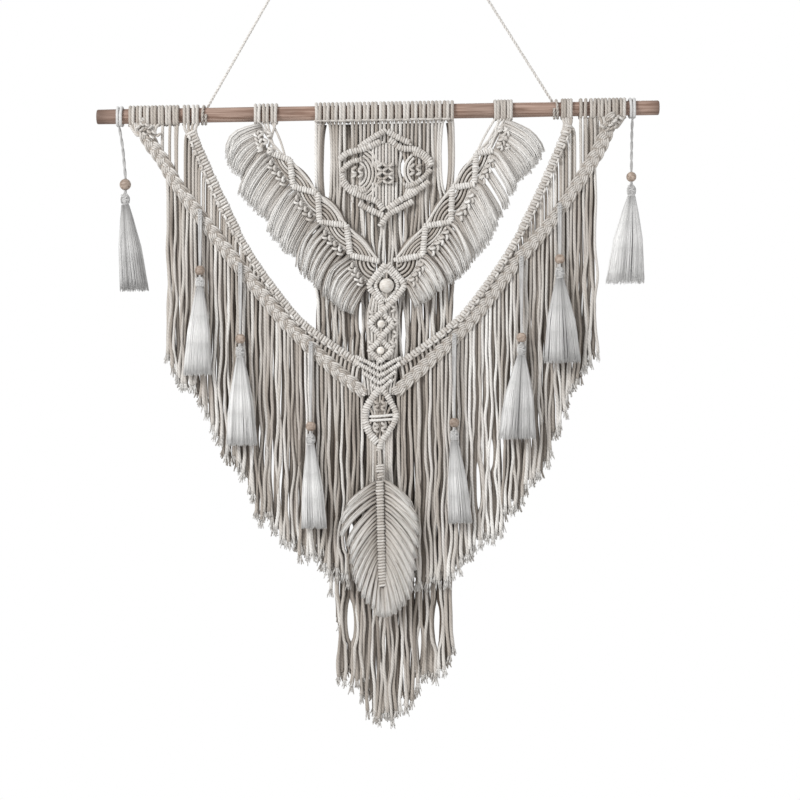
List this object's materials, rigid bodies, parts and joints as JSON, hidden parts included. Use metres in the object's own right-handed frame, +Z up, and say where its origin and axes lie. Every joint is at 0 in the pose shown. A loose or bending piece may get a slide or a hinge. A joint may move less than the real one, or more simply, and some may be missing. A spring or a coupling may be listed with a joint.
{
  "type": "macrame wall hanging with wooden rod",
  "caption": "Knotted cotton wall hanging on a wooden rod: swagged bands, fringed wings, beaded tassels, a rosette and a combed leaf over long fringe, held by a cord over a nail.",
  "frame": {"origin": "the point where the hanging cord goes over its nail", "axes": "+X to the right as seen from the front, +Y back towards the wall, +Z up"},
  "size_m": [0.843, 0.0615, 1.3676],
  "materials": {
    "cotton": "undyed warm grey-cream twisted cotton cord, matte",
    "cotton_light": "lighter undyed cotton cord, knotted and combed, matte",
    "tassel_thread": "off-white fine combed thread, slightly silky",
    "rod_wood": "reddish brown dowel with fine grain, satin",
    "bead_wood": "pale tan turned wood, satin",
    "bead_cream": "cream turned wood, satin"
  },
  "bodies": {
    "root": {"rod": "rod_wood", "hanging_cord": "cotton", "centre_panel": "cotton", "left_swag": "cotton", "right_swag": "cotton", "left_wing": "cotton_light", "right_wing": "cotton_light", "centre_column": "cotton_light", "large_bead": "bead_cream", "small_bead_upper": "bead_cream", "small_bead_lower": "bead_cream", "leaf": "cotton_light", "tassel_left_outer": "tassel_thread", "tassel_left_high": "tassel_thread", "tassel_left_middle": "tassel_thread", "tassel_left_low": "tassel_thread", "tassel_right_low": "tassel_thread", "tassel_right_middle": "tassel_thread", "tassel_right_high": "tassel_thread", "tassel_right_outer": "tassel_thread", "bead_left_outer": "bead_wood", "bead_left_high": "bead_wood", "bead_left_middle": "bead_wood", "bead_left_low": "bead_wood", "bead_right_low": "bead_wood", "bead_right_middle": "bead_wood", "bead_right_high": "bead_wood", "bead_right_outer": "bead_wood"}
  },
  "joints": []
}
